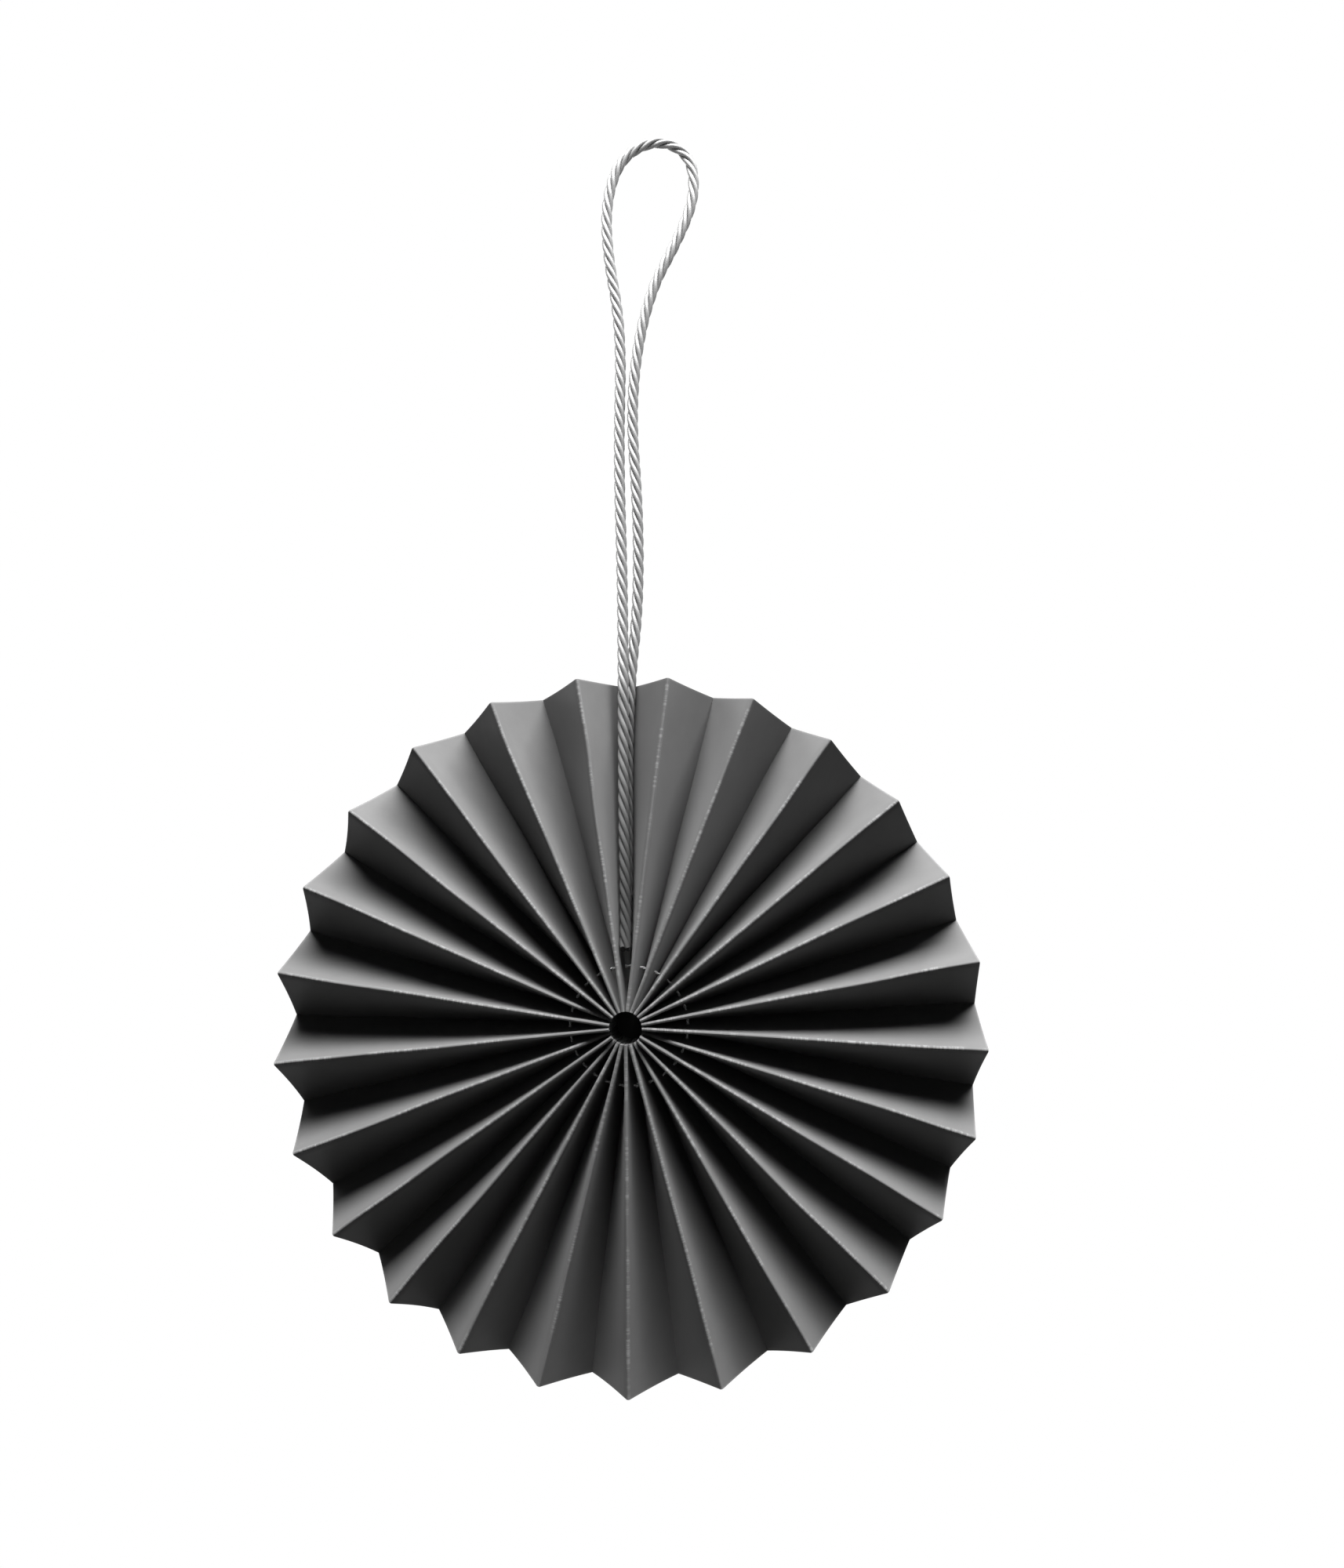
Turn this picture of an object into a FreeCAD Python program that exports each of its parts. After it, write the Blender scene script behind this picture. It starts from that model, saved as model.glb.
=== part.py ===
# A paper rosette that hangs on a loop of cord. One strip of paper is pleated, closed into a
# band and gathered at its inner edge until the layers lie side by side round a small hole.
# A thin thread runs through every panel near the hole and keeps it gathered, and a small round
# of the same paper closes the hole at the back.
#
# Millimetres. The front faces -Y and +Z is up. The origin is the inside top of the cord loop.
import FreeCAD
import Part

import math
import os

from FreeCAD import Vector

# Paper strip
pleat_count = 25
paper_thickness = 0.25
panel_width = 12.0
rosette_diameter = 100.0
layer_gap = 0.04

# The valley that holds the cord, as an angle from +X seen from the front. Folds are numbered
# from it. The waves say how unevenly the hand-folded pleats stand round the rim: each one is
# (cycles in a turn, size, angle of its crest).
cord_valley_angle = 91.3
pleat_waves = ((1, 1.0, -160.0), (2, 0.55, -55.0), (3, 0.45, -110.0), (4, 0.35, 174.0))
rim_waves = ((2, 0.3, 290.0),)

# The strip's two ends overlap on the panel after the valley at this angle, glued at its back.
# Nearer the centre than the lap reaches, the next panel leaves no room for another layer.
lap_angle = 279.0
lap_cover = 0.7
lap_clearance = 0.1
lap_rim_setback = 0.4

# Binding thread
thread_diameter = 0.45
thread_ring_radius = 8.45
thread_hole_clearance = 0.08
hole_flats = 8
hole_reach = 0.85
knot_diameter = 0.7
knot_angle = 279.0

# Round of paper glued over the hole, on the crowns of the back folds
disc_diameter = 14.0
glue_thickness = 0.02

# Hanging cord
cord_diameter = 1.7
arc_share = 0.45

# Centre of the rosette, halfway through its depth, below the loop
rosette_centre = Vector(-5.0, -2.5, -134.1)

# Route of the cord, from the centre of the rosette: up the front strand, round the loop and
# down the strand behind it. The points stay as chosen by eye.
cord_route = (
    (-0.23, -4.20, 10.9),
    (-0.30, -2.20, 14.5),
    (-0.50, -1.20, 20.0),
    (-0.85, 0.15, 29.0),
    (-1.00, 0.80, 40.0),
    (-1.10, 0.75, 51.0),
    (-1.35, 1.60, 66.0),
    (-2.10, 2.30, 86.0),
    (-1.65, 2.50, 104.5),
    (-4.15, 2.50, 118.5),
    (-4.00, 2.50, 127.0),
    (-1.60, 2.50, 133.2),
    (3.80, 2.50, 135.7),
    (8.70, 2.50, 133.2),
    (9.70, 2.50, 127.0),
    (7.60, 2.50, 120.5),
    (2.10, 2.50, 110.0),
    (-0.40, 2.50, 94.0),
    (0.95, 2.60, 76.0),
    (0.95, 2.75, 62.0),
    (-0.15, 2.30, 51.0),
    (-0.55, 2.75, 40.0),
    (-0.50, 2.30, 30.5),
    (-0.38, 1.20, 23.0),
    (-0.34, 0.35, 18.6),
)

# Worked out from the sizes above
fold_count = 2 * pleat_count
fold_step = 2 * math.pi / fold_count
hole_radius = (paper_thickness + layer_gap) / fold_step
rim_radius = rosette_diameter / 2
strip_width = rim_radius - hole_radius
lap_lean = math.asin((paper_thickness + lap_clearance) / (2 * (1 - lap_cover) * panel_width))
lap_inner_radius = panel_width * math.sin(lap_lean + math.asin(paper_thickness / panel_width)) / fold_step


def wave_sum(waves, angle):
    """Value at an angle of waves that run round the rosette."""
    return sum(size * math.cos(cycles * angle - math.radians(crest)) for cycles, size, crest in waves)


def even_angle(fold):
    """Angle of a fold where the layers are packed evenly. Even folds are valleys, odd ones ridges."""
    return math.radians(cord_valley_angle) + fold * fold_step


def valley_near(degrees):
    """The valley fold nearest to an angle."""
    return 2 * round((math.radians(degrees - cord_valley_angle)) / (2 * fold_step))


def rim_angle(fold):
    """Angle of a fold at the rim, where the pleats stand unevenly."""
    return even_angle(fold) + math.radians(wave_sum(pleat_waves, even_angle(fold)))


def rim_reach(fold):
    """Distance of a fold's outer end from the centre."""
    return rim_radius + wave_sum(rim_waves, even_angle(fold))


def blend(first, second, share):
    """Points part of the way from one list of points to another."""
    return [a + (b - a) * share for a, b in zip(first, second)]


class Section:
    """The pleated strip cut across at one distance from the centre.

    Each fold is sharp inside and round outside, about a crease that is the centre of the round.
    Side -1 is the paper's front face and side 1 its back face.
    """

    def __init__(self, radius, angle, spread):
        self.radius = radius
        self.angle = angle
        self.spread = spread

    def half_depth(self):
        """Half the distance from the front creases to the back ones."""
        run = self.spread * fold_step
        return 0.5 * math.sqrt(panel_width**2 + paper_thickness**2 - run**2)

    def lean(self, panel):
        """Angle between a panel and the rosette's axis. A panel has the number of its first fold."""
        run = self.spread * (self.angle(panel + 1) - self.angle(panel))
        depth = 2 * self.half_depth()
        return math.atan2(run, depth) - math.asin(paper_thickness / math.hypot(run, depth))

    def point(self, fold, across, behind):
        """A point beside a crease: across along the band, behind towards the back."""
        angle = self.angle(fold)
        x = self.radius(fold) * math.cos(angle) - across * math.sin(angle)
        z = self.radius(fold) * math.sin(angle) + across * math.cos(angle)
        crease_y = self.half_depth() if fold % 2 == 0 else -self.half_depth()
        return rosette_centre + Vector(x, crease_y + behind, z)

    def round_points(self, fold):
        """Start, crown and end of a fold's round outside."""
        size = paper_thickness
        outward = 1 if fold % 2 == 0 else -1
        before = self.lean(fold - 1)
        after = self.lean(fold)
        start = self.point(fold, -size * math.cos(before), outward * size * math.sin(before))
        crown = self.point(fold, 0, outward * size)
        end = self.point(fold, size * math.cos(after), outward * size * math.sin(after))
        return start, crown, end

    def panel_ends(self, panel, side):
        """Ends of a panel's flat part on one face of the paper."""
        ends = []
        for fold, place in ((panel, 2), (panel + 1, 0)):
            is_outside = side == (1 if fold % 2 == 0 else -1)
            ends.append(self.round_points(fold)[place] if is_outside else self.point(fold, 0, 0))
        return ends

    def panels(self, side):
        """Straight lines of all panels on one face of the paper."""
        return [Part.makeLine(*self.panel_ends(panel, side)) for panel in range(fold_count)]

    def rounds(self):
        """Arcs of all folds' outsides."""
        return [Part.Arc(*self.round_points(fold)).toShape() for fold in range(fold_count)]

    def cut_edge(self):
        """Faces of the paper's own edge: a strip along each panel and a sector at each fold."""
        faces = ruled_faces(self.panels(-1), self.panels(1))
        for fold, arc in enumerate(self.rounds()):
            crease = self.point(fold, 0, 0)
            start, _, end = self.round_points(fold)
            sector = Part.Wire([Part.makeLine(crease, start), arc, Part.makeLine(end, crease)])
            faces.append(Part.Face(sector))
        return faces


hole_section = Section(lambda fold: hole_radius, even_angle, hole_radius)
rim_section = Section(rim_reach, rim_angle, rim_radius)


def ruled_faces(first, second):
    """Faces of straight lines between matching edges."""
    return [Part.makeRuledSurface(a, b) for a, b in zip(first, second)]


def closed_solid(faces):
    """One solid from faces that meet along their edges."""
    skin = Part.makeShell(faces)
    skin.sewShape()
    solid = Part.Solid(skin.Shells[0])
    if solid.Volume < 0:
        solid.reverse()
    return solid


def folded_band():
    """The strip, folded and closed into a band."""
    faces = hole_section.cut_edge() + rim_section.cut_edge()
    for side in (-1, 1):
        faces += ruled_faces(hole_section.panels(side), rim_section.panels(side))
    faces += ruled_faces(hole_section.rounds(), rim_section.rounds())
    return closed_solid(faces)


def lap_corners(section):
    """Corners of the glued lap in one section: from inside the panel to one layer behind it."""
    panel = valley_near(lap_angle)
    front = section.panel_ends(panel, -1)
    back = section.panel_ends(panel, 1)
    middle = blend(front, back, 0.5)
    behind = blend(front, back, 2.0)
    reach = [near + (far - near) * lap_cover for near, far in (middle, behind)]
    return middle[0], behind[0], reach[1], reach[0]


def glued_lap():
    """The strip's other end, lying on the back of a panel."""
    hole_corners = lap_corners(hole_section)
    rim_corners = lap_corners(rim_section)
    inner = blend(hole_corners, rim_corners, (lap_inner_radius - hole_radius) / strip_width)
    outer = blend(hole_corners, rim_corners, 1 - lap_rim_setback / strip_width)
    loops = [[Part.makeLine(loop[i - 1], loop[i]) for i in range(4)] for loop in (inner, outer)]
    faces = ruled_faces(*loops)
    for loop in loops:
        faces.append(Part.makeRuledSurface(loop[0], loop[2]))
    return closed_solid(faces)


def in_plane(radius, angle):
    """A place in the rosette's own plane, from its centre."""
    return Vector(radius * math.cos(angle), 0, radius * math.sin(angle))


def ring_direction(panel):
    """Direction from the centre in which the thread goes through a panel."""
    share = (thread_ring_radius - hole_radius) / strip_width
    sides = []
    for fold in (panel, panel + 1):
        hole_end = in_plane(hole_radius, even_angle(fold))
        rim_end = in_plane(rim_reach(fold), rim_angle(fold))
        sides.append(hole_end + (rim_end - hole_end) * share)
    return (sides[0] + sides[1]).normalize()


def thread_hole(panel):
    """A pierced hole through one panel, along the thread, as a prism with so many flats."""
    outward = ring_direction(panel)
    along = Vector(-outward.z, 0, outward.x)
    length = hole_reach * thread_ring_radius * fold_step
    start = rosette_centre + outward * thread_ring_radius - along * (length / 2)
    corner_radius = (thread_diameter / 2 + thread_hole_clearance) / math.cos(math.pi / hole_flats)
    corners = []
    for flat in range(hole_flats + 1):
        turn = 2 * math.pi * (flat % hole_flats) / hole_flats
        reach = outward * math.cos(turn) + Vector(0, 1, 0) * math.sin(turn)
        corners.append(start + reach * corner_radius)
    return Part.Face(Part.makePolygon(corners)).extrude(along * length)


def pleated_paper():
    """The whole strip with its lap, pierced for the thread."""
    paper = folded_band().fuse(glued_lap())
    return paper.cut(Part.makeCompound([thread_hole(panel) for panel in range(fold_count)]))


def ring_stretch(diameter, middle, length):
    """A stretch of the thread's ring, of some diameter and length, about a direction from the centre."""
    angle = math.degrees(math.atan2(middle.z, middle.x))
    turn = math.degrees(length / thread_ring_radius)
    stretch = Part.makeTorus(thread_ring_radius, diameter / 2, Vector(), Vector(0, 0, 1), 0, 360, turn)
    stretch.rotate(Vector(), Vector(0, 0, 1), angle - turn / 2)
    stretch.rotate(Vector(), Vector(1, 0, 0), 90)
    stretch.translate(rosette_centre)
    return stretch


def binding_thread():
    """The thread's ring with its knot, which fills a valley from one panel to the next."""
    valley = valley_near(knot_angle)
    before, after = ring_direction(valley - 1), ring_direction(valley)
    room = thread_ring_radius * before.getAngle(after) - paper_thickness
    knot = ring_stretch(knot_diameter, before + after, room - 2 * thread_hole_clearance)
    ring = Part.makeTorus(thread_ring_radius, thread_diameter / 2, rosette_centre, Vector(0, 1, 0))
    return ring.fuse(knot)


def back_disc():
    """The round of paper behind the hole."""
    behind = hole_section.half_depth() + paper_thickness + glue_thickness
    front = rosette_centre + Vector(0, behind, 0)
    return Part.makeCylinder(disc_diameter / 2, paper_thickness, front, Vector(0, 1, 0))


def rounded_path(points):
    """Straight runs joined by tangent arcs as large as the runs allow, and the arcs' radii."""
    edges = []
    radii = []
    here = points[0]
    for before, corner, after in zip(points, points[1:], points[2:]):
        run_in, run_out = corner - before, after - corner
        setback = arc_share * min(run_in.Length, run_out.Length)
        towards, away = run_in.normalize(), run_out.normalize()
        turn = towards.getAngle(away)
        radii.append(setback / math.tan(turn / 2))
        start, end = corner - towards * setback, corner + away * setback
        inward = (away - towards).normalize()
        middle = corner + inward * (radii[-1] / math.cos(turn / 2) - radii[-1])
        edges.append(Part.makeLine(here, start))
        edges.append(Part.Arc(start, middle, end).toShape())
        here = end
    edges.append(Part.makeLine(here, points[-1]))
    return Part.Wire(edges), radii


def hanging_cord():
    """One length of cord, both ends in the top valley."""
    points = [rosette_centre + Vector(*place) for place in cord_route]
    path, radii = rounded_path(points)
    start = path.Edges[0]
    end = Part.makeCircle(cord_diameter / 2, points[0], start.tangentAt(0))
    cord = path.makePipe(Part.Face(Part.Wire(end)))
    expected = math.pi * cord_diameter**2 / 4 * path.Length
    print("cord length %.1f, tightest arc %.1f" % (path.Length, min(radii)))
    print("cord arc radii", [round(radius, 1) for radius in radii])
    print("cord volume %.2f, section times length %.2f" % (cord.Volume, expected))
    return cord


def main():
    os.makedirs("parts", exist_ok=True)
    for piece in (pleated_paper, back_disc, binding_thread, hanging_cord):
        shape = piece()
        shape.exportStep("parts/" + piece.__name__ + ".step")
        box = shape.BoundBox
        print(piece.__name__, "solids", len(shape.Solids), "valid", shape.isValid())
        print("  volume %.2f, size %.2f x %.2f x %.2f" % (shape.Volume, box.XLength, box.YLength, box.ZLength))


main()
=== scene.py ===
import math

import bpy

from mathutils import Matrix, Vector, noise


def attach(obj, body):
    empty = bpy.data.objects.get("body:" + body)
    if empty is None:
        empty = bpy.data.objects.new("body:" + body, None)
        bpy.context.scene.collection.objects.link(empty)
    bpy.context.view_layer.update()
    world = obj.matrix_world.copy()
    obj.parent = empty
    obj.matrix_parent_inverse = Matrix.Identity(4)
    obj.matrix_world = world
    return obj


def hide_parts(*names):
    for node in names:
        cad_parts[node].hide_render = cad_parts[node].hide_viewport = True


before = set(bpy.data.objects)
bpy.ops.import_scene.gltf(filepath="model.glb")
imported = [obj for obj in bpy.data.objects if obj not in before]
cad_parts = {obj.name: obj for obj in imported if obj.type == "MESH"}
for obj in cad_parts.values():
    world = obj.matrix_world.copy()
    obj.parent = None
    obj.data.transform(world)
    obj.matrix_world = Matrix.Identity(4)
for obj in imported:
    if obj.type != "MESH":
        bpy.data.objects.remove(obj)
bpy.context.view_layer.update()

MM = 0.001
rosette_centre = Vector((-5.0, -2.5, -134.1)) * MM

# Paper strip. Folds are numbered from the valley that holds the cord: even folds are valleys
# and odd ones ridges. A panel has the number of its first fold.
pleat_count = 25
paper_thickness = 0.25 * MM
panel_width = 12.0 * MM
rim_radius = 50.0 * MM
layer_gap = 0.04 * MM
cord_valley_angle = 91.3

# Waves round the rosette, each with its cycles, size and crest in degrees. The first turn the
# folds at the rim, in degrees, and the others move their ends outward.
pleat_waves = ((1, 1.0, -160.0), (2, 0.55, -55.0), (3, 0.45, -110.0), (4, 0.35, 174.0))
rim_waves = ((2, 0.3 * MM, 290.0),)

# The strip's two ends overlap on the panel after the valley at this angle
lap_angle = 279.0
lap_cover = 0.7
lap_inner_radius = 6.63 * MM
lap_rim_setback = 0.4 * MM

# Where the lap starts and ends in thicknesses from the panel's front face. It starts inside
# the panel, so that no gap shows.
lap_layers = (0.6, 2.0)

# How far hand folding leaves the paper from its ruled shape, full at the rim and none inside
still_radius = 12.0 * MM
fold_wander = 0.35 * MM
panel_bow = 0.2 * MM
valley_roundness = 0.8
wander_length = 14.0 * MM

# Places in the noise for folds and for panels: the step from one to the next, start and layer
fold_noise = (7.31, 0, 0.5)
panel_noise = (3.77, 40, 2.5)

# Ridges that lie behind their neighbours close to the hole, by fold, and how far
sunk_ridges = {9: 1.8 * MM, 15: 1.7 * MM, 19: 0.8 * MM, 21: 0.6 * MM, 29: 0.9 * MM, 35: 1.7 * MM}
sink_radius = 7.6 * MM

# Binding thread
thread_diameter = 0.45 * MM
thread_plies = 2
thread_turns = 41
thread_ring_radius = 8.45 * MM
thread_hole_clearance = 0.08 * MM
knot_angle = 279.0
knot_size = 0.3 * MM

# Round of paper glued over the hole at the back
disc_diameter = 14.0 * MM
glue_thickness = 0.02 * MM

# Hanging cord
cord_diameter = 1.7 * MM
cord_plies = 4
cord_lead = 8.6 * MM

# Route of the cord from the centre of the rosette, in millimetres
cord_route = (
    (-0.23, -4.20, 10.9),
    (-0.30, -2.20, 14.5),
    (-0.50, -1.20, 20.0),
    (-0.85, 0.15, 29.0),
    (-1.00, 0.80, 40.0),
    (-1.10, 0.75, 51.0),
    (-1.35, 1.60, 66.0),
    (-2.10, 2.30, 86.0),
    (-1.65, 2.50, 104.5),
    (-4.15, 2.50, 118.5),
    (-4.00, 2.50, 127.0),
    (-1.60, 2.50, 133.2),
    (3.80, 2.50, 135.7),
    (8.70, 2.50, 133.2),
    (9.70, 2.50, 127.0),
    (7.60, 2.50, 120.5),
    (2.10, 2.50, 110.0),
    (-0.40, 2.50, 94.0),
    (0.95, 2.60, 76.0),
    (0.95, 2.75, 62.0),
    (-0.15, 2.30, 51.0),
    (-0.55, 2.75, 40.0),
    (-0.50, 2.30, 30.5),
    (-0.38, 1.20, 23.0),
    (-0.34, 0.35, 18.6),
)

# Fineness of the meshes
panel_columns = 8
round_steps = 4
row_spacing = 0.72 * MM
disc_steps = 72
disc_rings = (0.05, 0.3, 0.6, 0.85, 0.99)
disc_edge = (0.15, 0.85)
cord_turn_steps = 18
cord_ply_sides = 12
thread_turn_steps = 10
thread_ply_sides = 8
knot_steps = 60
route_steps = 16

# Edges that turn further than this, in degrees, aren't shaded smoothly
paper_sharp_angle = 35
strand_sharp_angle = 60

# Greys, as the share of light that a surface gives back: the darker and the paler of two
paper_greys = (0.122, 0.144)
fleck_grey = 0.18
worn_grey = 0.22
cord_greys = (0.17, 0.36)
thread_greys = (0.24, 0.6)
floor_grey = 0.04

# Painted shade on the cord below this height, where it lies in the paper's valley: darker, less
# metallic and rougher there, and darker still towards the hole
shade_height = rosette_centre.z + 48.0 * MM
shade_fade = 2.0 * MM
shade_depth = 36.0 * MM
shaded_rim_greys = (0.15, 0.21)
shaded_hole_greys = (0.035, 0.055)

# How far apart the textures take two panels and two plies to lie, so that no two look alike
panel_apart = 31.7
ply_apart = 7

# Where the disc lies in the paper's texture, away from the panels' ridges
disc_texture_place = (20, 60)

# Part of a cord's lead in which its plies' own fibres turn once, and their stretch along it
fibre_lead_share = 0.45
fibre_stretch = 0.12

# Camera, from the centre of the rosette
camera_place = Vector((17.01, -201.88, 13.69)) * MM
camera_forward = Vector((-0.0533, 0.9932, 0.1038))
camera_focal_pixels = 1778.6
camera_clip_start = 0.01
picture_height = 2000
sensor_height = 36.0

# Studio. The lamps' places are from the centre of the rosette and their power is in watts.
key_place = Vector((0.06, -0.125, 0.37))
key_size = (0.4, 0.22)
key_power = 6.7
rear_place = Vector((-0.12, 0.4, 0.24))
rear_size = (0.5, 0.35)
rear_power = 2.0
ambient_light = 0.012
floor_height = -0.45
floor_reach = 2.0
floor_roughness = 0.9

# Worked out from the sizes above
fold_count = 2 * pleat_count
fold_step = 2 * math.pi / fold_count
hole_radius = (paper_thickness + layer_gap) / fold_step
strip_width = rim_radius - hole_radius


# Shape of the folded strip

def is_valley(fold):
    """Whether a fold is a valley as seen from the front."""
    return fold % 2 == 0


def is_outside(fold, side):
    """Whether a face of the paper, -1 in front and 1 behind, is on the outside of a fold."""
    return side == (1 if is_valley(fold) else -1)


def wave_sum(waves, angle):
    """Value at an angle of waves that run round the rosette."""
    return sum(
        size * math.cos(cycles * angle - math.radians(crest)) for cycles, size, crest in waves
    )


def even_angle(fold):
    """Angle of a fold where the layers are packed evenly."""
    return math.radians(cord_valley_angle) + fold * fold_step


def valley_near(degrees):
    """The valley fold nearest to an angle."""
    return 2 * round(math.radians(degrees - cord_valley_angle) / (2 * fold_step))


def rim_angle(fold):
    """Angle of a fold at the rim, where the pleats stand unevenly."""
    return even_angle(fold) + math.radians(wave_sum(pleat_waves, even_angle(fold)))


def rim_reach(fold):
    """Distance of a fold's outer end from the centre."""
    return rim_radius + wave_sum(rim_waves, even_angle(fold))


class Section:
    """The pleated strip cut across at one distance from the centre.

    Radius and angle give those of a fold, and spread is the distance without the waves.
    """

    def __init__(self, radius, angle, spread):
        self.radius = radius
        self.angle = angle
        self.spread = spread

    def half_depth(self):
        """Half the distance from the front creases to the back ones."""
        run = self.spread * fold_step
        return 0.5 * math.sqrt(panel_width**2 + paper_thickness**2 - run**2)

    def lean(self, panel):
        """Angle between a panel and the rosette's axis."""
        run = self.spread * (self.angle(panel + 1) - self.angle(panel))
        depth = 2 * self.half_depth()
        return math.atan2(run, depth) - math.asin(paper_thickness / math.hypot(run, depth))

    def point(self, fold, across, behind):
        """A point beside a crease: across along the band, behind towards the back."""
        angle = self.angle(fold)
        x = self.radius(fold) * math.cos(angle) - across * math.sin(angle)
        z = self.radius(fold) * math.sin(angle) + across * math.cos(angle)
        crease_y = self.half_depth() if is_valley(fold) else -self.half_depth()
        return Vector((x, crease_y + behind, z))

    def round_point(self, fold, share):
        """A point of a fold's round outside, from the panel before it to the panel after."""
        first = -math.pi / 2 + self.lean(fold - 1)
        last = math.pi / 2 - self.lean(fold)
        turn = first + (last - first) * share
        outward = paper_thickness if is_valley(fold) else -paper_thickness
        return self.point(fold, paper_thickness * math.sin(turn), outward * math.cos(turn))

    def panel_ends(self, panel, side):
        """Ends of a panel's flat part on one face of the paper."""
        ends = []
        for fold, share in ((panel, 1), (panel + 1, 0)):
            outside = is_outside(fold, side)
            ends.append(self.round_point(fold, share) if outside else self.point(fold, 0, 0))
        return ends

    def panel_point(self, panel, share, layer):
        """A point of a panel: share across it, layer 0 on its front face and 1 on its back one."""
        front = self.panel_ends(panel, -1)
        back = self.panel_ends(panel, 1)
        first, last = (near.lerp(far, layer) for near, far in zip(front, back))
        return first.lerp(last, share)


hole_section = Section(lambda fold: hole_radius, even_angle, hole_radius)
rim_section = Section(rim_reach, rim_angle, rim_radius)
sections = (hole_section, rim_section)


def looseness(radius):
    """How freely the paper moves at a distance from the centre, from 0 to 1."""
    share = min(max((radius - still_radius) / (rim_radius - still_radius), 0), 1)
    return share * share * (3 - 2 * share)


def wander_noise(number, radius, place):
    """Noise that runs smoothly along one fold or panel and differs from the next one's."""
    step, start, layer = place
    return noise.noise(Vector((step * number + start, radius / wander_length, layer)))


def fold_shift(fold, radius):
    """How far a fold wanders along the band."""
    wander = wander_noise(fold % fold_count, radius, fold_noise)
    return fold_wander * looseness(radius) * wander


def ridge_sink(fold, radius):
    """How far a fold lies behind its place close to the hole."""
    share = min(max((sink_radius - radius) / (sink_radius - hole_radius), 0), 1)
    return sunk_ridges.get(fold % fold_count, 0) * math.sin(math.pi / 2 * share)


def bow(panel, share, radius):
    """How far a panel bends out of its plane. Valleys open rounder than ridges."""
    from_valley = share if is_valley(panel) else 1 - share
    size = panel_bow * looseness(radius) * (1 + wander_noise(panel, radius, panel_noise))
    size *= math.sin(math.pi * from_valley**valley_roundness)
    return size if is_valley(panel) else -size


class Column:
    """One line of the paper's mesh from the hole to the rim, on one face of the paper."""

    def __init__(self, panel, share, hole_end, rim_end):
        self.panel = panel
        self.share = share
        self.hole_end = hole_end
        self.rim_end = rim_end

    def between_folds(self, measure, radius):
        """A measure of the two folds beside the column, shared out between them."""
        first = measure(self.panel, radius)
        second = measure(self.panel + 1, radius)
        return first * (1 - self.share) + second * self.share

    def place(self, along):
        """The column's point at a share of the way from the hole to the rim."""
        point = self.hole_end.lerp(self.rim_end, along)
        radius = hole_radius + strip_width * along
        middle = even_angle(self.panel + self.share)
        tangent = Vector((-math.sin(middle), 0, math.cos(middle)))
        sideways = self.between_folds(fold_shift, radius) + bow(self.panel, self.share, radius)
        backward = self.between_folds(ridge_sink, radius)
        point += tangent * sideways + Vector((0, backward, 0))
        return rosette_centre + point

    def texture_place(self, along):
        """Millimetres from the nearest ridge and from the rim, and the panel's number."""
        from_ridge = 1 - self.share if is_valley(self.panel) else self.share
        inward = strip_width * (1 - along) / MM
        return (from_ridge * panel_width / MM, inward, self.panel)


def panel_column(panel, share, layer):
    """A column on a panel."""
    return Column(panel, share, *(section.panel_point(panel, share, layer) for section in sections))


def fold_columns(fold, side):
    """The columns of one face of the paper at a fold."""
    if not is_outside(fold, side):
        return [Column(fold, 0, *(section.point(fold, 0, 0) for section in sections))]
    columns = []
    for step in range(round_steps + 1):
        share = step / round_steps
        columns.append(Column(fold, 0, *(section.round_point(fold, share) for section in sections)))
    return columns


def face_columns(side):
    """All columns of one face of the paper, round the band, and where each fold starts."""
    columns = []
    starts = []
    for fold in range(fold_count):
        starts.append(len(columns))
        columns += fold_columns(fold, side)
        for step in range(1, panel_columns):
            columns.append(panel_column(fold, step / panel_columns, 0 if side < 0 else 1))
    return columns, starts


def row_shares():
    """The rows of the mesh, as shares of the way from the hole to the rim.

    The second value is the number of the row that runs through the thread's holes.
    """
    inner = thread_ring_radius - hole_radius
    outer = rim_radius - thread_ring_radius
    inner_rows = round(inner / row_spacing)
    outer_rows = round(outer / row_spacing)
    rows = [inner * row / inner_rows for row in range(inner_rows)]
    rows += [inner + outer * row / outer_rows for row in range(outer_rows + 1)]
    return [row / strip_width for row in rows], inner_rows


class MeshParts:
    """Points, faces and each point's place in the texture, gathered for one mesh."""

    def __init__(self):
        self.points = []
        self.faces = []
        self.strip = []

    def add(self, point, strip):
        """Adds a point and returns its number."""
        self.points.append(point)
        self.strip.append(strip)
        return len(self.points) - 1

    def add_grid(self, columns, shares):
        """Adds the points of columns at shares and returns their numbers, row by row."""
        rows = []
        for share in shares:
            row = [self.add(column.place(share), column.texture_place(share)) for column in columns]
            rows.append(row)
        return rows

    def join(self, first, second, closed):
        """Adds the faces between two lists of points."""
        count = len(first)
        for i in range(count if closed else count - 1):
            j = (i + 1) % count
            self.faces.append((first[i], first[j], second[j], second[i]))

    def to_object(self, name, sharp_angle):
        """The mesh as an object, with its attribute for the materials."""
        mesh = bpy.data.meshes.new(name)
        mesh.from_pydata(self.points, [], self.faces)
        strip = mesh.attributes.new("strip", "FLOAT_VECTOR", "POINT")
        strip.data.foreach_set("vector", [value for place in self.strip for value in place])
        mesh.validate()
        thing = add_object(name, mesh)
        recalculate_normals(thing, sharp_angle)
        return thing


def add_object(name, data):
    """Links new object data to the scene."""
    thing = bpy.data.objects.new(name, data)
    bpy.context.collection.objects.link(thing)
    return thing


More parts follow.
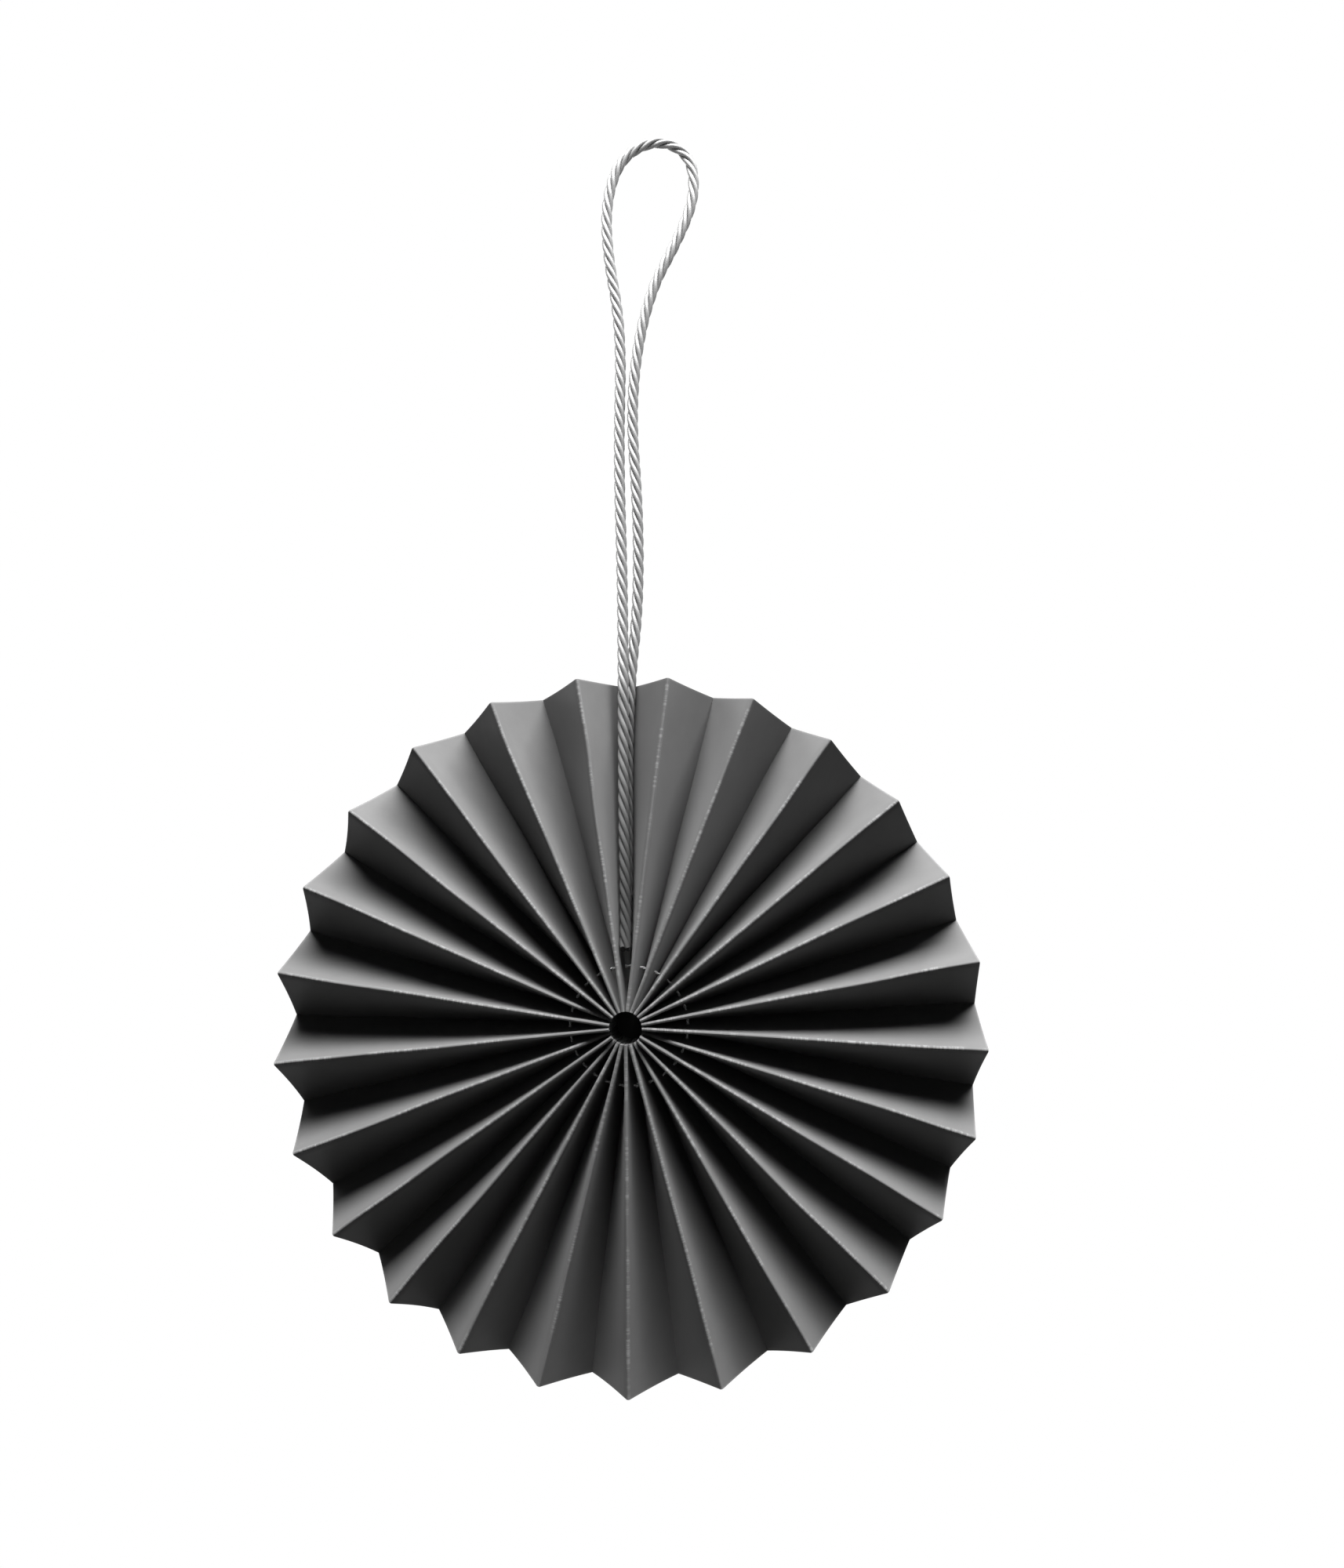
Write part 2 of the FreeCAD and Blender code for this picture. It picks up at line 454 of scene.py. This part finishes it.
def recalculate_normals(thing, sharp_angle):
    """Turns faces outward and shades smoothly below an angle."""
    bpy.context.view_layer.objects.active = thing
    thing.select_set(True)
    bpy.ops.object.mode_set(mode="EDIT")
    bpy.ops.mesh.select_all(action="SELECT")
    bpy.ops.mesh.normals_make_consistent(inside=False)
    bpy.ops.object.mode_set(mode="OBJECT")
    thing.select_set(False)
    thing.data.shade_smooth()
    thing.data.set_sharp_from_angle(angle=math.radians(sharp_angle))


# Places of the eight points round a hole, as steps in (row, column)
hole_steps = ((-1, -1), (-1, 0), (-1, 1), (0, 1), (1, 1), (1, 0), (1, -1), (0, -1))


def pierce(parts, rows, row, column):
    """Adds a round hole about a grid point and returns its ring of points."""
    centre = parts.points[rows[row][column]]
    outward = (parts.points[rows[row + 1][column]] - centre).normalized()
    across = (parts.points[rows[row][column + 1]] - centre).normalized()
    size = thread_diameter / 2 + thread_hole_clearance
    ring = []
    around = []
    for row_step, column_step in hole_steps:
        turn = math.atan2(column_step, row_step)
        neighbour = rows[row + row_step][column + column_step]
        place = centre + (outward * math.cos(turn) + across * math.sin(turn)) * size
        ring.append(parts.add(place, parts.strip[neighbour]))
        around.append(neighbour)
    parts.join(around, ring, True)
    return ring


class PaperFace:
    """One face of the paper in the mesh, with its holes. Side is -1 in front and 1 behind."""

    def __init__(self, parts, side, shares, hole_row):
        self.side = side
        columns, self.starts = face_columns(side)
        self.rows = parts.add_grid(columns, shares)
        self.rings = []
        pierced = set()
        for fold in range(fold_count):
            middle = self.panel_start(fold) + panel_columns // 2
            self.rings.append(pierce(parts, self.rows, hole_row, middle))
            for row in (hole_row - 1, hole_row):
                pierced.update({(row, middle - 1), (row, middle)})
        self.add_cells(parts, pierced)

    def add_cells(self, parts, pierced):
        """Adds a face for each cell of the grid that isn't pierced."""
        for row, (inner, outer) in enumerate(zip(self.rows, self.rows[1:])):
            for column in range(len(inner)):
                if (row, column) not in pierced:
                    after = (column + 1) % len(inner)
                    parts.faces.append((inner[column], inner[after], outer[after], outer[column]))

    def panel_start(self, fold):
        """Where in a row the panel after a fold starts."""
        return self.starts[fold] + (round_steps if is_outside(fold, self.side) else 0)

    def panel_line(self, fold, row):
        """The points of a row across the panel after a fold."""
        points = self.rows[row]
        first = self.panel_start(fold)
        return [points[(first + step) % len(points)] for step in range(panel_columns + 1)]


def add_cut_edge(parts, front, back, row):
    """The paper's own edge between its faces: a fan at each fold and a strip along each panel."""
    for fold in range(fold_count):
        outside, inside = (back, front) if is_outside(fold, back.side) else (front, back)
        crease = inside.rows[row][inside.starts[fold]]
        for step in range(round_steps):
            near = outside.starts[fold] + step
            parts.faces.append((crease, outside.rows[row][near], outside.rows[row][near + 1]))
        parts.join(front.panel_line(fold, row), back.panel_line(fold, row), False)


def add_lap(parts, shares):
    """The strip's other end on the back of a panel, as a thin slab."""
    panel = valley_near(lap_angle)
    inner = (lap_inner_radius - hole_radius) / strip_width
    outer = 1 - lap_rim_setback / strip_width
    lap_shares = [inner] + [share for share in shares if inner < share < outer] + [outer]
    steps = round(lap_cover * panel_columns)
    crossings = [lap_cover * step / steps for step in range(steps + 1)]
    near_layer, far_layer = lap_layers
    loop = [panel_column(panel, share, near_layer) for share in crossings]
    loop += [panel_column(panel, share, far_layer) for share in reversed(crossings)]
    rows = parts.add_grid(loop, lap_shares)
    for first, second in zip(rows, rows[1:]):
        parts.join(first, second, True)
    for row in (rows[0], rows[-1]):
        parts.join(row[:steps + 1], row[:steps:-1], False)


def pleated_paper():
    """The whole strip: both faces, cut edges, thread holes and lap."""
    parts = MeshParts()
    shares, hole_row = row_shares()
    front = PaperFace(parts, -1, shares, hole_row)
    back = PaperFace(parts, 1, shares, hole_row)
    for row in (0, -1):
        add_cut_edge(parts, front, back, row)
    for first, second in zip(front.rings, back.rings):
        parts.join(first, second, True)
    add_lap(parts, shares)
    return parts.to_object("folded_paper", paper_sharp_angle)


def disc_profile(radius):
    """Places down the disc's section from its front to its back: distance out and depth."""
    profile = [(share * radius, 0.0) for share in disc_rings]
    profile += [(radius, depth) for depth in disc_edge]
    return profile + [(share * radius, 1.0) for share in reversed(disc_rings)]


def back_disc():
    """The round of paper behind the hole, with its edge eased."""
    radius = disc_diameter / 2
    front = hole_section.half_depth() + paper_thickness + glue_thickness
    texture_x, texture_z = disc_texture_place
    parts = MeshParts()
    rings = []
    for reach, depth in disc_profile(radius):
        ring = []
        for step in range(disc_steps):
            angle = 2 * math.pi * step / disc_steps
            y = front + depth * paper_thickness
            place = Vector((reach * math.cos(angle), y, reach * math.sin(angle)))
            from_edge = (radius - reach) / MM
            strip = (texture_x + place.x / MM, from_edge, texture_z + place.z / MM / panel_apart)
            ring.append(parts.add(rosette_centre + place, strip))
        rings.append(ring)
    for first, second in zip(rings, rings[1:]):
        parts.join(first, second, True)
    parts.faces += [tuple(rings[0]), tuple(rings[-1])]
    return parts.to_object("paper_disc", paper_sharp_angle)


# Twisted cord and thread

def spline_line(route):
    """Points along the smooth spline that a route's points control."""
    curve = bpy.data.curves.new("route", "CURVE")
    curve.dimensions = "3D"
    curve.resolution_u = route_steps
    spline = curve.splines.new("NURBS")
    spline.points.add(len(route) - 1)
    for point, place in zip(spline.points, route):
        point.co = (*place, 1.0)
    spline.order_u = 3
    spline.use_endpoint_u = True
    holder = add_object("route", curve)
    bpy.context.view_layer.update()
    evaluated = holder.evaluated_get(bpy.context.evaluated_depsgraph_get())
    mesh = bpy.data.meshes.new_from_object(evaluated)
    line = [vertex.co.copy() for vertex in mesh.vertices]
    bpy.data.objects.remove(holder)
    return line


def evenly_spaced(line, spacing):
    """A line's points moved along it until they are evenly spaced."""
    reached = [0.0]
    for before, after in zip(line, line[1:]):
        reached.append(reached[-1] + (after - before).length)
    count = round(reached[-1] / spacing)
    even = []
    at = 0
    for step in range(count + 1):
        target = reached[-1] * step / count
        while at < len(line) - 2 and reached[at + 1] < target:
            at += 1
        share = (target - reached[at]) / (reached[at + 1] - reached[at])
        even.append(line[at].lerp(line[at + 1], min(share, 1)))
    return even


def moving_frames(line):
    """A frame at each point of a line that turns no more than the line does."""
    tangents = []
    last = len(line) - 1
    for index in range(len(line)):
        tangents.append((line[min(index + 1, last)] - line[max(index - 1, 0)]).normalized())
    side = tangents[0].orthogonal().normalized()
    frames = []
    for before, tangent in zip([tangents[0]] + tangents, tangents):
        side = before.rotation_difference(tangent) @ side
        side = (side - tangent * side.dot(tangent)).normalized()
        frames.append((side, tangent.cross(side)))
    return frames


def strand_tube(parts, line, radius, sides, fibre_turn, ply):
    """A closed tube along a line.

    The attribute holds the place of the tube's fibres: two values round it, which turn with
    them, and the millimetres along it.
    """
    rings = []
    travelled = 0.0
    for index, (centre, (side, up)) in enumerate(zip(line, moving_frames(line))):
        travelled += (centre - line[index - 1]).length if index else 0
        ring = []
        for step in range(sides):
            turn = 2 * math.pi * step / sides
            place = centre + (side * math.cos(turn) + up * math.sin(turn)) * radius
            fibre = turn + travelled * fibre_turn
            strip = (math.cos(fibre) + ply_apart * ply, math.sin(fibre), travelled / MM)
            ring.append(parts.add(place, strip))
        rings.append(ring)
    for first, second in zip(rings, rings[1:]):
        parts.join(first, second, True)
    parts.faces += [tuple(rings[0]), tuple(rings[-1])]


def twisted_rope(name, line, diameter, plies, lead, sides):
    """Plies laid round a line, their crossings running down to the right."""
    ply_radius = diameter / 2 / (1 + 1 / math.sin(math.pi / plies))
    helix_radius = diameter / 2 - ply_radius
    fibre_turn = 2 * math.pi / (fibre_lead_share * lead)
    frames = moving_frames(line)
    spacing = (line[1] - line[0]).length
    parts = MeshParts()
    for ply in range(plies):
        strand = []
        for index, (centre, (side, up)) in enumerate(zip(line, frames)):
            turn = 2 * math.pi * (ply / plies - index * spacing / lead)
            strand.append(centre + (side * math.cos(turn) + up * math.sin(turn)) * helix_radius)
        strand_tube(parts, strand, ply_radius, sides, fibre_turn, ply)
    return parts.to_object(name, strand_sharp_angle)


def hanging_cord():
    """One length of twisted cord whose two ends lie in the top valley."""
    route = [rosette_centre + Vector(place) * MM for place in cord_route]
    line = evenly_spaced(spline_line(route), cord_lead / cord_turn_steps)
    cord = twisted_rope("twisted_cord", line, cord_diameter, cord_plies, cord_lead, cord_ply_sides)
    return cord


def thread_direction(panel):
    """Direction from the centre in which the thread goes through a panel."""
    share = (thread_ring_radius - hole_radius) / strip_width
    ends = [section.panel_point(panel, 0.5, 0.5) for section in sections]
    return ends[0].lerp(ends[1], share).normalized()


def knot_line():
    """Centre line of the thread's knot, a closed overhand loop."""
    valley = valley_near(knot_angle)
    outward = (thread_direction(valley - 1) + thread_direction(valley)).normalized()
    backward = Vector((0, 1, 0))
    along = Vector((-outward.z, 0, outward.x))
    centre = rosette_centre + outward * thread_ring_radius
    line = []
    for step in range(knot_steps + 1):
        turn = 2 * math.pi * step / knot_steps
        x = (math.sin(turn) + 2 * math.sin(2 * turn)) / 3
        y = (math.cos(turn) - 2 * math.cos(2 * turn)) / 3
        z = -math.sin(3 * turn) / 2
        line.append(centre + (outward * x + backward * y + along * z) * knot_size)
    return line


def thread_ring():
    """The thread's ring, its plies twisted."""
    steps = thread_turns * thread_turn_steps
    line = []
    for step in range(steps + 1):
        angle = 2 * math.pi * step / steps
        direction = Vector((math.cos(angle), 0, math.sin(angle)))
        line.append(rosette_centre + direction * thread_ring_radius)
    lead = 2 * math.pi * thread_ring_radius / thread_turns
    return twisted_rope(
        "twisted_thread", line, thread_diameter, thread_plies, lead, thread_ply_sides
    )


def thread_knot():
    """The thread's knot in a valley."""
    parts = MeshParts()
    strand_tube(parts, knot_line(), thread_diameter / 4, thread_ply_sides, 0, 0)
    return parts.to_object("thread_knot", strand_sharp_angle)


# Materials

white = (1.0, 1.0, 1.0, 1.0)

# Sockets of a mix node for its share and two colours, and for the mixed colour
mix_inputs = (0, 6, 7)
mix_output = 2

range_inputs = ("Value", "From Min", "From Max", "To Min", "To Max")


def grey(value):
    """A plain grey."""
    return (value, value, value, 1.0)


class Nodes:
    """Adds nodes to a shader tree and links them by name."""

    def __init__(self, tree):
        self.tree = tree

    def add(self, kind, **values):
        """A node with settings and input values."""
        node = self.tree.nodes.new(kind)
        for key, value in values.items():
            if key in node.inputs:
                self.feed(node, key, value)
            else:
                setattr(node, key, value)
        return node

    def feed(self, node, key, value):
        """Sets an input, or links it where the value is another node's output."""
        if isinstance(value, bpy.types.NodeSocket):
            self.tree.links.new(value, node.inputs[key])
        else:
            node.inputs[key].default_value = value

    def feed_all(self, node, keys, values):
        """Sets or links several inputs."""
        for key, value in zip(keys, values):
            self.feed(node, key, value)

    def math(self, operation, *values):
        """Output of a maths node."""
        node = self.add("ShaderNodeMath", operation=operation)
        self.feed_all(node, range(len(values)), values)
        return node.outputs[0]

    def fit(self, value, source, target, kind="LINEAR"):
        """Output that crosses the target range while the value crosses the source range."""
        node = self.add("ShaderNodeMapRange", interpolation_type=kind)
        self.feed_all(node, range_inputs, (value, *source, *target))
        return node.outputs["Result"]

    def fall(self, value, low, high):
        """1 up to low, falling smoothly to 0 at high."""
        return self.fit(value, (low, high), (1.0, 0.0), "SMOOTHSTEP")

    def rise(self, value, low, high):
        """0 up to low, rising smoothly to 1 at high."""
        return self.fit(value, (low, high), (0.0, 1.0), "SMOOTHSTEP")

    def noise(self, vector, scale, detail=4.0, roughness=0.6):
        """Output of a noise texture."""
        settings = {"Vector": vector, "Scale": scale, "Detail": detail, "Roughness": roughness}
        return self.add("ShaderNodeTexNoise", **settings).outputs["Fac"]

    def mix(self, share, first, second):
        """The first colour where the share is 0, and the second where it is 1."""
        node = self.add("ShaderNodeMix", data_type="RGBA")
        self.feed_all(node, mix_inputs, (share, first, second))
        return node.outputs[mix_output]

    def mix_greys(self, share, greys):
        """A mix of two greys."""
        return self.mix(share, grey(greys[0]), grey(greys[1]))

    def bump(self, height, strength, distance):
        """The normal of a surface raised by a height."""
        settings = {"Height": height, "Strength": strength, "Distance": distance}
        return self.add("ShaderNodeBump", **settings).outputs["Normal"]

    def strip_values(self):
        """The three values of the mesh's attribute."""
        strip = self.add("ShaderNodeAttribute", attribute_name="strip").outputs["Vector"]
        parts = self.add("ShaderNodeSeparateXYZ", Vector=strip)
        return [parts.outputs[axis] for axis in "XYZ"]

    def vector(self, x, y, z):
        """Three values joined to a vector."""
        return self.add("ShaderNodeCombineXYZ", X=x, Y=y, Z=z).outputs[0]

    def set_shader(self, values):
        """Sets or links the main shader's inputs."""
        self.feed_all(self.tree.nodes["Principled BSDF"], values.keys(), values.values())


def new_material(name):
    """A material and its nodes."""
    material = bpy.data.materials.new(name)
    material.use_nodes = True
    return material, Nodes(material.node_tree)


def paper_wear(nodes, ridge, inward, flat):
    """How worn the paper is: in specks along stretches of the ridges, and at the cut edges."""
    specks = nodes.noise(flat, scale=2.2, detail=5.0, roughness=0.75)
    stretches = nodes.noise(flat, scale=0.12, detail=1.0)
    is_speck = nodes.rise(specks, 0.46, 0.58)
    is_stretch = nodes.rise(stretches, 0.4, 0.52)
    broken = nodes.math("MULTIPLY", is_speck, is_stretch)
    ridge_wear = nodes.math("MULTIPLY", nodes.fall(ridge, 0.05, 0.4), broken)
    edge_wear = nodes.math("MULTIPLY", nodes.fall(inward, 0.05, 0.3), 0.6)
    return nodes.math("MAXIMUM", ridge_wear, edge_wear)


def paper_material():
    """Black uncoated paper: fine fibres, faint mottling and paler wear."""
    material, nodes = new_material("black_paper")
    ridge, inward, panel = nodes.strip_values()
    flat = nodes.vector(ridge, inward, nodes.math("MULTIPLY", panel, panel_apart))
    fibres = nodes.noise(flat, scale=4.5, detail=8.0, roughness=0.7)
    mottle = nodes.noise(flat, scale=0.35, detail=3.0)
    flecks = nodes.math("MULTIPLY", nodes.fall(fibres, 0.3, 0.38), 0.6)
    body = nodes.mix(flecks, nodes.mix_greys(mottle, paper_greys), grey(fleck_grey))
    wear = paper_wear(nodes, ridge, inward, flat)
    nodes.set_shader({
        "Base Color": nodes.mix(wear, body, grey(worn_grey)),
        "Roughness": nodes.math("MULTIPLY_ADD", mottle, 0.15, 0.5),
        "Specular IOR Level": 0.06,
        "Sheen Weight": 0.08,
        "Sheen Roughness": 0.4,
        "Normal": nodes.bump(fibres, strength=0.35, distance=0.03 * MM),
    })
    return material


def cord_painted_shade(nodes, fibres):
    """How far the cord is in painted shade by its height, and its painted shaded colour, darker
    towards the hole.
    """
    place = nodes.add("ShaderNodeTexCoord").outputs["Object"]
    height = nodes.add("ShaderNodeSeparateXYZ", Vector=place).outputs["Z"]
    # Painted shade where the cord lies in the valley, deepening towards the hole
    shaded = nodes.fall(height, shade_height, shade_height + shade_fade)
    deeper_shade = nodes.fall(height, shade_height - shade_depth, shade_height)
    dark, light = (nodes.mix_greys(deeper_shade, pair) for pair in zip(shaded_rim_greys, shaded_hole_greys))
    return shaded, nodes.mix(fibres, dark, light)


def fibre_material(name, greys, metallic, roughness, has_painted_shade):
    """Lustrous twisted fibre: fine lines along each strand, paler and darker."""
    material, nodes = new_material(name)
    x, y, along = nodes.strip_values()
    line = nodes.vector(x, y, nodes.math("MULTIPLY", along, fibre_stretch))
    fibres = nodes.noise(line, scale=6.0, detail=4.0, roughness=0.65)
    patches = nodes.noise(line, scale=1.6, detail=2.0)
    colour = nodes.mix_greys(fibres, greys)
    rough = nodes.math("MULTIPLY_ADD", patches, 0.2, roughness)
    # Painted shade: where the cord lies in the valley, its colour darkens, its metallic gloss goes
    # and it gets rougher
    if has_painted_shade:
        shaded, shaded_colour = cord_painted_shade(nodes, fibres)
        colour = nodes.mix(shaded, colour, shaded_colour)
        metallic = nodes.math("MULTIPLY", nodes.math("SUBTRACT", 1.0, shaded), metallic)
        rough = nodes.math("MULTIPLY_ADD", shaded, 0.35, rough)
    nodes.set_shader({
        "Base Color": colour,
        "Metallic": metallic,
        "Roughness": rough,
        "Specular IOR Level": 0.3,
        "Normal": nodes.bump(fibres, strength=0.5, distance=0.05 * MM),
    })
    return material


# Studio

def seen_directly(nodes):
    """Output that is 1 for rays from the camera and through gloss or glass, and 0 for others."""
    path = nodes.add("ShaderNodeLightPath")
    seen = path.outputs["Is Camera Ray"]
    for name in ("Is Glossy Ray", "Is Transmission Ray"):
        seen = nodes.math("MAXIMUM", seen, path.outputs[name])
    return seen


def white_world():
    """White behind the object and a weak even light on it."""
    world = bpy.data.worlds.new("studio")
    world.use_nodes = True
    nodes = Nodes(world.node_tree)
    background = nodes.tree.nodes["Background"]
    strength = nodes.fit(seen_directly(nodes), (0.0, 1.0), (ambient_light, 1.0))
    nodes.feed(background, "Color", white)
    nodes.feed(background, "Strength", strength)
    bpy.context.scene.world = world


def pale_floor():
    """A plain floor far below the hanging piece, white where it is seen."""
    mesh = bpy.data.meshes.new("floor")
    signs = ((-1, -1), (1, -1), (1, 1), (-1, 1))
    corners = [(x * floor_reach, y * floor_reach, floor_height) for x, y in signs]
    mesh.from_pydata(corners, [], [(0, 1, 2, 3)])
    material, nodes = new_material("floor")
    nodes.set_shader({"Base Color": grey(floor_grey), "Roughness": floor_roughness})
    shader = nodes.tree.nodes["Principled BSDF"]
    glow = nodes.add("ShaderNodeEmission", Color=white)
    blend = nodes.add("ShaderNodeMixShader")
    nodes.feed_all(blend, range(3), (seen_directly(nodes), shader.outputs[0], glow.outputs[0]))
    nodes.feed(nodes.tree.nodes["Material Output"], "Surface", blend.outputs[0])
    mesh.materials.append(material)
    floor = add_object("floor", mesh)


def soft_lamp(name, offset, size, power):
    """A rectangular lamp that faces the centre of the rosette."""
    data = bpy.data.lights.new(name, "AREA")
    data.shape = "RECTANGLE"
    data.size, data.size_y = size
    data.energy = power
    lamp = add_object(name, data)
    lamp.location = rosette_centre + offset
    lamp.rotation_euler = (-offset).to_track_quat("-Z", "Y").to_euler()
    lamp.visible_camera = False


def photo_camera():
    """The camera at the photograph's place."""
    data = bpy.data.cameras.new("camera")
    data.sensor_fit = "VERTICAL"
    data.sensor_height = sensor_height
    data.lens = camera_focal_pixels / picture_height * sensor_height
    data.clip_start = camera_clip_start
    camera = add_object("camera", data)
    camera.location = rosette_centre + camera_place
    backward = -camera_forward.normalized()
    right = Vector((0, 0, 1)).cross(backward).normalized()
    up = backward.cross(right)
    camera.rotation_euler = Matrix((right, up, backward)).transposed().to_euler()
    bpy.context.scene.camera = camera


def dress():
    """All pieces with their materials, each on the model's one body."""
    paper = pleated_paper()
    disc = back_disc()
    ring = thread_ring()
    knot = thread_knot()
    cord = hanging_cord()
    paper_look = paper_material()
    # The cord gets painted shade where it lies in the valley
    cord_look = fibre_material(
        "silver_cord", cord_greys, metallic=0.55, roughness=0.42, has_painted_shade=True
    )
    thread_look = fibre_material(
        "silver_thread", thread_greys, metallic=0.6, roughness=0.3, has_painted_shade=False
    )
    for piece, look, node, slot in (
        (paper, paper_look, "pleated_paper", "black_paper"),
        (disc, paper_look, "back_disc", "black_paper"),
        (ring, thread_look, "binding_thread", "silver_thread"),
        (knot, thread_look, None, "silver_thread"),
        (cord, cord_look, "hanging_cord", "silver_cord"),
    ):
        piece.data.materials.append(look)
        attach(piece, "root")
        if node:
            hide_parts(node)


dress()
white_world()
pale_floor()
soft_lamp("key", key_place, key_size, key_power)
soft_lamp("rear", rear_place, rear_size, rear_power)
photo_camera()

bpy.context.scene.view_settings.view_transform = "Standard"
